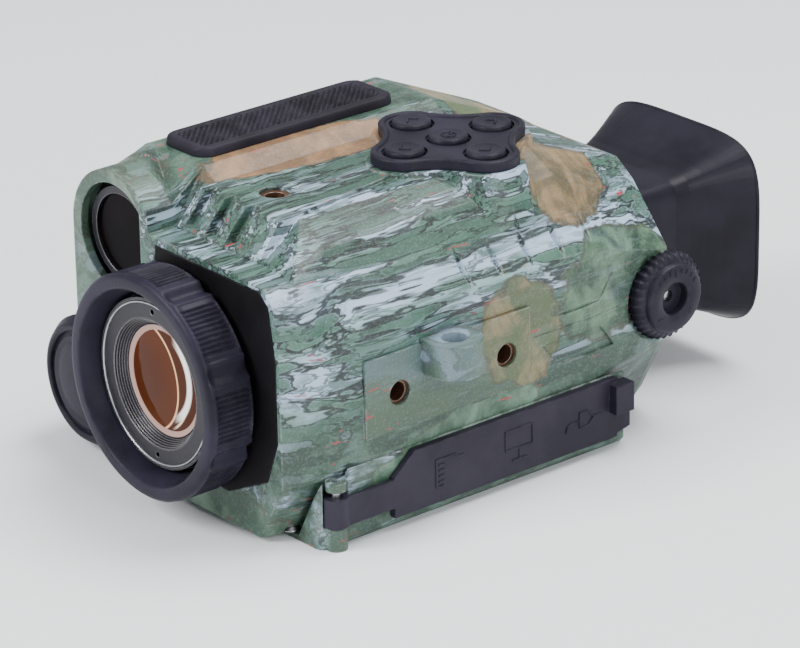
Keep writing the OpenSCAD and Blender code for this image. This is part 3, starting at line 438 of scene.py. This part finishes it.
# these two sit in the shade of the front, darker and duller than the other black plastic
for plate in ("front_bezel", "lamp_holder"):
    shaded = moulded("shaded black " + plate, "#08070a", "#121014", 0.6)
    frame["nodes"][plate].data.materials[0] = shaded

# ------------------------------------------------------------------ pieces


def put(x, y, z):
    """A point in millimetres from the objective's front rim, in the frame."""
    return np.stack(np.broadcast_arrays(x * MM, y * MM + ORIGIN[1], z * MM + ORIGIN[2]), axis=-1)


def solid(name, points, body, slot, round_rows=True, sharp=40.0):
    """A closed piece from a grid of points, rows by columns. Rows wrap round; columns wrap when
    round_rows is true, or else end in one middle point each. Faces are turned outward."""
    rows, columns = points.shape[:2]
    faces = []
    across = columns if round_rows else columns - 1
    for i in range(rows):
        n = (i + 1) % rows
        for j in range(across):
            m = (j + 1) % columns
            faces.append((i * columns + j, n * columns + j, n * columns + m, i * columns + m))
    vertices = points.reshape(-1, 3)
    if not round_rows:
        ends = np.array([points[:, 0].mean(axis=0), points[:, -1].mean(axis=0)])
        base = len(vertices)
        vertices = np.vstack([vertices, ends])
        for i in range(rows):
            n = (i + 1) % rows
            faces.append((base, n * columns, i * columns))
            faces.append((base + 1, i * columns + columns - 1, n * columns + columns - 1))
    return built(name, vertices, faces, body, slot, sharp)


def built(name, vertices, faces, body, slot, sharp):
    """A piece of a body, in a slot's material, from a closed mesh. Its signed volume tells whether
    the faces have to be turned over; edges above the sharp angle, in degrees, stay crisp."""
    name = name.replace(" ", "_")
    mesh = bpy.data.meshes.new(name)
    mesh.from_pydata([tuple(map(float, v)) for v in vertices], [], faces)
    volume = 0.0
    middle = np.mean(vertices, axis=0)
    for f in faces:
        a = vertices[f[0]] - middle
        for k in range(1, len(f) - 1):
            b, c = vertices[f[k]] - middle, vertices[f[k + 1]] - middle
            volume += float(np.dot(a, np.cross(b, c)))
    if volume < 0:
        mesh.flip_normals()
    mesh.shade_smooth()
    mesh.set_sharp_from_angle(angle=math.radians(sharp))
    mesh.materials.append(MATERIALS[slot])
    piece = bpy.data.objects.new(name, mesh)
    bpy.context.scene.collection.objects.link(piece)
    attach(piece, body)
    return piece


def turned_y(
    name, profile, centre, body, slot, steps=96, round_rows=True, shape=None, sharp=40.0
):
    """A turned piece about an axis along y through the centre: the profile (radius, y) revolved;
    with a shape, each radius is shape(radius, y, angle)."""
    profile = np.array(profile, float)
    angle = np.linspace(0, 2 * np.pi, steps, endpoint=False)[:, None]
    radius, y = profile[None, :, 0], profile[None, :, 1]
    if shape:
        radius = shape(radius, y, angle)
    x, z = centre[0] + radius * np.cos(angle), centre[1] + radius * np.sin(angle)
    points = put(x, y + 0 * angle, z)
    return solid(name, points, body, slot, round_rows, sharp)


def smooth(t):
    """0 below 0, 1 above 1, and 3 t^2 - 2 t^3 between."""
    t = np.clip(t, 0, 1)
    return t * t * (3 - 2 * t)


def bar(name, path, normal, width, height, body, slot, sink=0.1, pitch=0.4):
    """A low rounded bar laid along a path on a surface. Across it, the half section is
    (w cos t, h sin t) for t from 0 to 180 degrees, closed by a flat sunk underside."""
    path = np.array(path, float)
    steps = np.linalg.norm(np.diff(path, axis=0), axis=1)
    places = np.concatenate([[0], np.cumsum(steps)])
    count = max(int(places[-1] / pitch), 3)
    t = np.linspace(0, places[-1], count)
    line = np.stack([np.interp(t, places, path[:, k]) for k in range(3)], axis=1)
    ahead = np.gradient(line, axis=0)
    ahead /= np.linalg.norm(ahead, axis=1)[:, None]
    normal = np.array(normal, float) / np.linalg.norm(normal)
    side = np.cross(ahead, normal)
    side /= np.linalg.norm(side, axis=1)[:, None]
    a = np.linspace(0, np.pi, 7)
    section = [(width / 2 * math.cos(v), height * math.sin(v)) for v in a]
    ring = np.array(section + [(-width / 2, -sink), (width / 2, -sink)])
    grid = line[:, None, :] + side[:, None, :] * ring[None, :, :1] + normal * ring[None, :, 1:]
    points = put(grid[..., 0], grid[..., 1], grid[..., 2])
    points = points.transpose(1, 0, 2)
    return solid(name, points, body, slot, round_rows=False, sharp=50.0)


def size_of(node, axis):
    """A node's lowest and highest place on one axis, in millimetres from ORIGIN."""
    low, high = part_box(node)
    return (float(low[axis] - ORIGIN[axis]) / MM, float(high[axis] - ORIGIN[axis]) / MM)


def focus_ring():
    """Radius = R - ribs - scallop: eight scallops of depth 1.5 cos^2, each between two smooth bars,
    and eight groups of fine ribs, 0.75 mm deep, that fade out at the front rim."""
    r = size_of("focus_ring", 0)[1]
    length = size_of("focus_ring", 1)[1]
    bore, rear_bore, bore_end = r - 6.5, r - 7.8, 9.2
    scallop_depth, rib_depth, bar_height = 1.5, 0.75, 0.35
    # in degrees: from scallop to scallop, half a scallop, where ribs begin, and from rib to rib
    repeat, scallop_half, ribs_from, rib_pitch = 45.0, 6.2, 9.4, 2.62

    def grip(radius, y, angle):
        outer = (radius > r - 1.0).astype(float)
        share = np.abs(np.degrees(angle) % repeat - repeat / 2)
        back = smooth((y - 1.6) / 1.2)
        front = smooth((length - 0.4 - y) / 0.5)
        dip = np.cos(np.clip(share / scallop_half, 0, 1) * np.pi / 2) ** 2
        scallop = scallop_depth * dip * smooth((y - 0.6) / 2.4)
        groups = smooth((share - ribs_from) / 0.5)
        wave = 0.5 - 0.5 * np.cos(2 * np.pi * (share - ribs_from) / rib_pitch)
        rib = rib_depth * wave**0.7
        step = bar_height * smooth((share - 5.8) / 1.0) * back
        return radius - outer * (scallop + groups * rib * back * front - bar_height + step)

    profile = [(r - 5.6, 4.3), (r - 3.9, 0.35), (r - 3.6, 0.0), (r - 3.2, -0.05)]
    profile += [(r - 1.4, -0.05), (r - 0.95, 0.1), (r - 0.55, 0.45), (r - 0.1, 1.0), (r, 1.6)]
    profile += [(r, y) for y in (2.2, 2.8, 3.6, 5.0, 7.0, 9.0, 11.0, 12.2, 12.8, length - 0.5)]
    profile += [(r - 0.5, length), (rear_bore, length), (rear_bore, bore_end), (bore, bore_end)]
    ring = turned_y(
        "focus ring grip", profile, (0.0, 0.0), "ring", "ring_rubber", 1440, shape=grip, sharp=48.0
    )
    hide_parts("focus_ring")


def lens_surround():
    """Fine thread-like baffle rings down the cone to the lens, a thin bright snap ring in the
    groove round the retainer, and the lens's ground edge."""
    on_axis = (0.0, 0.0)
    lens = size_of("front_lens", 0)[1]
    y0 = size_of("objective_retainer", 1)[0]
    teeth, tooth_shape = 6, (0.0, 0.28, 0.34, 0.06)
    baffle = []
    for k in range(teeth * 4 + 1):
        t = k / (teeth * 4)
        baffle.append((lens + 2.15 - 2.3 * t, y0 + 0.1 + 3.3 * t - tooth_shape[k % 4]))
    baffle += [(lens + 0.1, y0 + 3.6), (lens + 2.5, y0 + 0.6)]
    turned_y("baffle rings", baffle, on_axis, "objective", "black_metal", 128, sharp=25.0)
    wire = 0.28
    rim, front = size_of("objective_cell", 0)[1] - 1.15, y0 - 0.05
    angles = np.linspace(0, 2 * np.pi, 10)[:-1]
    snap = [(rim + wire * math.cos(v), front + wire * math.sin(v)) for v in angles]
    turned_y("snap ring", snap, on_axis, "objective", "plain_metal", 128)
    chamfer = [(lens - 1.7, y0 + 3.35), (lens - 0.25, y0 + 2.9)]
    chamfer += [(lens - 0.1, y0 + 3.5), (lens - 1.6, y0 + 3.7)]
    turned_y("lens edge", chamfer, on_axis, "objective", "coated_glass", 128)


def grip_field():
    """The pad: a smooth rounded border 2.5 mm high round a lower field of small four-sided studs.
    A stud's height = 1.5 (1 - max(|a|, |b|)), up to 1 mm, with a and b running crosswise."""
    (x0, x1), (y0, y1) = size_of("grip_pad", 0), size_of("grip_pad", 1)
    base = size_of("grip_pad", 2)[0]
    rows, columns = 340, 110
    border_height, border_round, border_width = 2.5, 1.3, 2.7
    field_drop, stud_height = 0.95, 1.0
    v = np.linspace(0, 1, rows)[:, None]
    u = np.linspace(-1, 1, columns)[None, :]
    y = y0 + (y1 - y0) * v
    corner = 5.0
    near = np.minimum(y - y0, y1 - y)
    arc = np.sqrt(np.maximum(corner**2 - (corner - near) ** 2, 0.0))
    dip = np.where(near < corner, corner - arc, 0.0)
    half = (x1 - x0) / 2 - dip
    centre = (x0 + x1) / 2
    x = centre + half * u
    edge = np.minimum((1 - np.abs(u)) * half, np.minimum(y - y0, y1 - y) + 0 * u)
    rise = np.clip(1 - (1 - np.clip(edge / border_round, 0, 1)) ** 2, 0, 1)
    border = border_height * np.sqrt(rise)
    inside = smooth((edge - border_width) / 0.7)
    pitch = 1.9
    a = ((x + y) / pitch) % 1.0 * 2 - 1
    b = ((x - y) / pitch) % 1.0 * 2 - 1
    stud = 1 - np.maximum(np.abs(a), np.abs(b))
    z = base + border - inside * field_drop + inside * stud_height * np.clip(stud * 1.5, 0, 1)
    top = put(x, y + 0 * u, z)
    bottom = put(x, y + 0 * u, base + 0 * z)
    count = rows * columns
    faces = []
    for i in range(rows - 1):
        for j in range(columns - 1):
            k = i * columns + j
            faces.append((k, k + 1, k + columns + 1, k + columns))
            faces.append((count + k, count + k + columns, count + k + columns + 1, count + k + 1))
    loop = list(range(columns)) + [i * columns + columns - 1 for i in range(1, rows)]
    loop += [(rows - 1) * columns + j for j in range(columns - 2, -1, -1)]
    loop += [i * columns for i in range(rows - 2, 0, -1)]
    for k, here in enumerate(loop):
        then = loop[(k + 1) % len(loop)]
        faces.append((here, count + here, count + then, then))
    vertices = np.vstack([top.reshape(-1, 3), bottom.reshape(-1, 3)])
    field = built("grip field", vertices, faces, "housing", "grip_rubber", 24.0)
    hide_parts("grip_pad")


def circle_path(cx, cy, r, start, end, z):
    """Points along an arc at height z, from a start to an end angle in degrees."""
    angles = np.radians(np.linspace(start, end, 24))
    return [(cx + r * math.cos(v), cy + r * math.sin(v), z) for v in angles]


def keys():
    """Each key gets a dished cap with a rolled rim, and a raised sign: arrows on four of them, a
    ring and a stroke on the middle one."""
    inset, skirt = 1.15, -0.9
    stroke = (0.55, 0.32)
    arrow_tip, arrow_back, arrow_half = 1.5, 0.6, 1.9
    up = (0, 0, 1)
    ways = {"front": (0, -1), "rear": (0, 1), "left": (-1, 0), "right": (1, 0), "center": (0, 0)}
    for name, (dx, dy) in ways.items():
        node, body = "key_" + name, "key_" + name + "_body"
        (x0, x1), (y0, y1), (_, top) = (size_of(node, k) for k in range(3))
        cx, cy, r = (x0 + x1) / 2, (y0 + y1) / 2, (x1 - x0) / 2 - inset
        rise = [(r - 0.4, skirt), (r + 0.1, skirt), (r + 0.12, -0.25), (r - 0.1, 0.1)]
        rise += [(r - 0.5, 0.3), (r - 1.0, 0.3), (r - 1.5, 0.15), (r * 0.4, 0.08)]
        out, height = np.array(rise)[None, :, 0], np.array(rise)[None, :, 1]
        angle = np.linspace(0, 2 * np.pi, 72, endpoint=False)[:, None]
        points = put(cx + out * np.cos(angle), cy + out * np.sin(angle), top + height + 0 * angle)
        solid(node + " cap", points, body, "key_rubber", round_rows=False, sharp=50.0)
        z = top + 0.1
        if name == "center":
            ring = circle_path(cx, cy, 1.9, 60, 390, z)
            bar("sign ring", ring, up, *stroke, body, "key_rubber")
            line = [(cx, cy + 0.4, z), (cx, cy + 2.2, z)]
            bar("sign dot", line, up, *stroke, body, "key_rubber")
            continue
        tip = (cx + arrow_tip * dx, cy + arrow_tip * dy, z)
        for k in (-1, 1):
            tail_x = cx - arrow_back * dx + arrow_half * k * dy
            tail_y = cy - arrow_back * dy + arrow_half * k * dx
            arm = [tip, (tail_x, tail_y, z)]
            bar(f"sign {name} {k}", arm, up, *stroke, body, "key_rubber")


def cover_signs():
    """Raised outlines on the port cover that tell a card, a screen and a plug apart."""
    z0, z1 = size_of("port_cover", 2)
    mid = (z0 + z1) / 2

    def line(name, points, width=0.5):
        path = [(COVER_FACE, y, mid + up) for y, up in points]
        bar(name, path, (1, 0, 0), width, 0.38, "cover", "cover_rubber")

    y = 60.0
    line("card outline", [(y + 6.5, 3.6), (y, 3.6), (y, -4.2), (y + 2.6, -4.2)])
    line("card notch", [(y + 6.5, 3.6), (y + 7.4, 2.6), (y + 9.6, 2.6)])
    for k in range(4):
        pin = 2.0 - 1.6 * k
        line(f"card pin {k}", [(y + 0.9, pin), (y + 2.9, pin)], 0.45)
    y = 84.0
    line("screen", [(y, 4.4), (y + 9.4, 4.4), (y + 9.4, -1.2), (y, -1.2), (y, 4.4)])
    line("screen foot", [(y + 2.2, -4.4), (y + 7.4, -4.4)])
    line("screen neck", [(y + 4.8, -1.4), (y + 4.8, -4.4)])
    y = 107.0
    nose = [(y + 3.2, -2.2), (y + 6.2, -2.2), (y + 8.2, 0.0), (y + 6.2, 2.2), (y + 3.2, 2.2)]
    line("plug body", [(y + 3.2, 2.2), *nose])
    line("plug lead", [(y - 1.6, -2.4), (y - 1.2, -0.6), (y + 0.4, 0.0), (y + 3.0, 0.0)])
    line("plug pin 1", [(y + 8.2, 0.1), (y + 10.8, 0.1)])


def dial():
    """The dial: a knurled skirt, radius = R - 0.85 |sin(17 angle)|^0.8, a flat raised face with
    ticks and plus and minus marks, and a deep hub hole."""
    x0, x1 = size_of("diopter_dial", 0)
    r = size_of("diopter_dial", 2)[1]
    cy, cz = DIAL_AXIS
    face, core, hub_foot, hub_floor = 9.4, 1.6, 4.45, x1 - 2.9
    knurls, knurl_depth = 17, 0.85
    out = (1, 0, 0)
    profile = [(core, x0 + 0.02), (r - 0.6, x0 + 0.02), (r, x0 + 0.5), (r, x0 + 2.6)]
    profile += [(r - 0.5, x0 + 3.2), (face + 0.9, x1 - 1.7), (face + 0.3, x1 - 1.6)]
    profile += [(face + 0.1, x1 - 0.25), (face - 0.3, x1 + 0.05), (4.9, x1 + 0.05)]
    profile += [(4.5, x1 - 0.3), (hub_foot, hub_floor), (core, hub_floor)]
    across, along = np.array(profile)[None, :, 0], np.array(profile)[None, :, 1]
    angle = np.linspace(0, 2 * np.pi, 720, endpoint=False)[:, None]
    knurl = knurl_depth * np.abs(np.sin(angle * knurls)) ** 0.8
    radius = across - (across > face + 0.95) * knurl
    y, z = cy + radius * np.cos(angle), cz + radius * np.sin(angle)
    turned = solid("dial grip", put(along + 0 * angle, y, z), "dial", "key_rubber", True, 45.0)
    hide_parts("diopter_dial")
    for k in range(-4, 5):
        v = math.radians(90 + 15 * k)
        # the middle tick is the longest
        start, end = (7.4, 8.6) if k else (6.4, 8.9)
        ray = [(x1, cy + reach * math.cos(v), cz + reach * math.sin(v)) for reach in (start, end)]
        bar(f"dial tick {k}", ray, out, 0.4, 0.3, "dial", "key_rubber")
    stroke, aside, below = (0.45, 0.3), 5.4, 4.6
    for side in (-1, 1):
        py, pz = cy + aside * side, cz - below
        dash = [(x1, py - 1.0, pz), (x1, py + 1.0, pz)]
        bar(f"dial mark {side}", dash, out, *stroke, "dial", "key_rubber")
    upright = [(x1, cy + aside, cz - 5.6), (x1, cy + aside, cz - 3.6)]
    bar("dial plus", upright, out, *stroke, "dial", "key_rubber")


def battery_cap_face():
    """A raised lip and a domed centre on the battery cap, in turned rings."""
    x0, x1 = size_of("battery_cap", 0)
    z0, z1 = size_of("battery_cap", 2)
    r, centre = (x1 - x0) / 2, ((x0 + x1) / 2, (z0 + z1) / 2)
    y = size_of("battery_cap", 1)[0]
    dome = [(0.02, y - 0.75), (r * 0.3, y - 0.7), (r * 0.5, y - 0.5)]
    dome += [(r * 0.62, y - 0.2), (r * 0.66, y + 0.4), (0.02, y + 0.4)]
    turned_y("cap dome", dome, centre, "cap", "black_plastic", 96, round_rows=False)
    lip = [(r * 0.80, y + 0.4), (r * 0.80, y - 0.25), (r * 0.83, y - 0.5)]
    lip += [(r * 0.87, y - 0.5), (r * 0.90, y - 0.1), (r * 0.90, y + 0.5)]
    turned_y("cap lip", lip, centre, "cap", "black_plastic", 96)


def beaded(name, x, y, z, body, slot):
    """A closed bead, from grids whose rows follow the path and whose columns go round it."""
    return solid(name, put(x, y, z), body, slot, True, 60.0)


def cup_bead():
    """A thin rolled bead round the cup's open end, along x = a cos^p, z = b sin^p, p = 2 / 4.6."""
    (x0, x1), (z0, z1) = size_of("eyecup", 0), size_of("eyecup", 2)
    y = size_of("eyecup", 1)[1] - 0.25
    inset, half_width, half_depth, power = 1.0, 1.15, 0.7, 2 / 4.6
    a, b = (x1 - x0) / 2 - inset, (z1 - z0) / 2 - inset
    t = np.linspace(0, 2 * np.pi, 256, endpoint=False)[:, None]
    s = np.linspace(0, 2 * np.pi, 12, endpoint=False)[None, :]
    cx = a * np.sign(np.cos(t)) * np.abs(np.cos(t)) ** power
    cz = b * np.sign(np.sin(t)) * np.abs(np.sin(t)) ** power + (z0 + z1) / 2
    out = half_width * np.cos(s)
    x, z = cx + out * np.cos(t), cz + out * np.sin(t)
    beaded("cup bead", x, y + half_depth * np.sin(s) + 0 * t, z, "housing", "cup_rubber")


def plate_rim():
    """A rounded bead round the edge of the key plate: four arms of radius r about the outer keys,
    joined by hollow sides of radius cut about the points (c, c)."""
    (x0, x1), (y0, y1), (_, top) = (size_of("key_plate", k) for k in range(3))
    cx, cy = (x0 + x1) / 2, (y0 + y1) / 2
    reach, diagonal = (x1 - x0) / 2, math.cos(math.radians(45))
    inset, waist_drop, half_width, half_height = 0.9, 2.1, 0.95, 0.75
    pitch = (size_of("key_right", 0)[0] + size_of("key_right", 0)[1]) / 2 - cx
    r, mid = reach - pitch - inset, pitch * diagonal
    waist = mid + reach - pitch - waist_drop - inset
    cut = (waist**2 - 2 * waist * mid + pitch**2 - r**2) / (2 * (r - waist + mid))
    c = (waist + cut) * diagonal
    touch = math.atan2(c, c - pitch)
    arm = [(pitch + r * math.cos(v), r * math.sin(v)) for v in np.linspace(-touch, touch, 40)]
    end_x, end_y = arm[-1]
    start = math.atan2(end_y - c, end_x - c) % (2 * np.pi)
    end = math.atan2(end_x - c, end_y - c) % (2 * np.pi)
    sweep = np.linspace(start, end, 16)[1:-1]
    quarter = np.array(arm + [(c + cut * math.cos(v), c + cut * math.sin(v)) for v in sweep])
    outline = []
    for q in np.radians([0, 90, 180, 270]):
        turn = np.array([[math.cos(q), math.sin(q)], [-math.sin(q), math.cos(q)]])
        outline.append(quarter @ turn)
    outline = np.vstack(outline)
    ahead = np.roll(outline, -1, axis=0) - np.roll(outline, 1, axis=0)
    ahead /= np.linalg.norm(ahead, axis=1)[:, None]
    out = np.stack([ahead[:, 1], -ahead[:, 0]], axis=1)
    s = np.linspace(0, 2 * np.pi, 12, endpoint=False)[None, :]
    x = cx + outline[:, 0][:, None] + half_width * np.cos(s) * out[:, 0][:, None]
    y = cy + outline[:, 1][:, None] + half_width * np.cos(s) * out[:, 1][:, None]
    z = top - 0.15 + half_height * np.sin(s) + 0 * x
    beaded("plate bead", x, y, z, "housing", "key_rubber")


# the port cover's face stands this far out of the shell's side
COVER_STANDS_OUT = 2.2
COVER_FACE = size_of("upper_housing", 0)[1] + COVER_STANDS_OUT
DIAL_AXIS = tuple(sum(size_of("diopter_dial", k)) / 2 for k in (1, 2))
focus_ring()
lens_surround()
grip_field()
keys()
plate_rim()
cover_signs()
dial()
battery_cap_face()
cup_bead()

# ------------------------------------------------------------------ stage


def stage_floor():
    """A wide flat floor under the foot."""
    half = 6.0
    corners = [(-half, -half, 0), (half, -half, 0), (half, half, 0), (-half, half, 0)]
    mesh = bpy.data.meshes.new("floor")
    mesh.from_pydata(corners, [], [(0, 1, 2, 3)])
    floor = bpy.data.objects.new("floor", mesh)
    bpy.context.scene.collection.objects.link(floor)
    p = Paint("floor")
    mesh.materials.append(p.finish(base_color=tint("#eef0f2"), roughness=p.noise(3.0) * 0.1 + 0.6))


def area_light(name, place, aim, size, power):
    """A soft lamp at a place, in metres, turned to its aim."""
    lamp = bpy.data.lights.new(name, "AREA")
    lamp.shape, lamp.size, lamp.size_y = "RECTANGLE", size[0], size[1]
    lamp.energy = power
    holder = bpy.data.objects.new(name, lamp)
    holder.location = place
    holder.rotation_mode = "QUATERNION"
    holder.rotation_quaternion = (Vector(aim) - Vector(place)).to_track_quat("-Z", "Y")
    bpy.context.scene.collection.objects.link(holder)


def studio():
    """A pale even sky, with a soft key light in front, one from above and one from the side."""
    world = bpy.data.worlds.new("studio")
    world.use_nodes = True
    sky = world.node_tree.nodes["Background"]
    sky.inputs["Color"].default_value = (0.93, 0.95, 1.0, 1.0)
    sky.inputs["Strength"].default_value = 0.58
    bpy.context.scene.world = world
    middle = (0.0, 0.0, 0.045)
    area_light("key", (-0.25, -0.95, 0.75), middle, (0.5, 0.5), 16.0)
    area_light("top", (0.15, 0.35, 1.1), middle, (0.8, 0.6), 17.0)
    area_light("side", (1.0, -0.1, 0.45), middle, (0.5, 0.5), 6.0)


def camera():
    """The camera stands in front, to the right and above, with a long lens and a slight roll."""
    azimuth, elevation, roll = math.radians(50.45), math.radians(22.60), math.radians(-0.96)
    flat = math.cos(elevation)
    back = Vector((math.sin(azimuth) * flat, -math.cos(azimuth) * flat, math.sin(elevation)))
    level = Vector((math.cos(azimuth), math.sin(azimuth), 0.0))
    up = back.cross(level)
    right = level * math.cos(roll) + up * math.sin(roll)
    up = up * math.cos(roll) - level * math.sin(roll)
    place = [a + float(b) for a, b in zip((0.8160, -0.5867, 0.4343), ORIGIN)]
    lens = bpy.data.cameras.new("camera")
    lens.sensor_width, lens.lens = 36.0, 191.3
    lens.clip_start, lens.clip_end = 0.05, 50.0
    view = bpy.data.objects.new("camera", lens)
    rows = [(right[i], up[i], back[i], place[i]) for i in range(3)]
    view.matrix_world = Matrix(rows + [(0, 0, 0, 1)])
    bpy.context.scene.collection.objects.link(view)
    bpy.context.scene.camera = view


stage_floor()
studio()
camera()
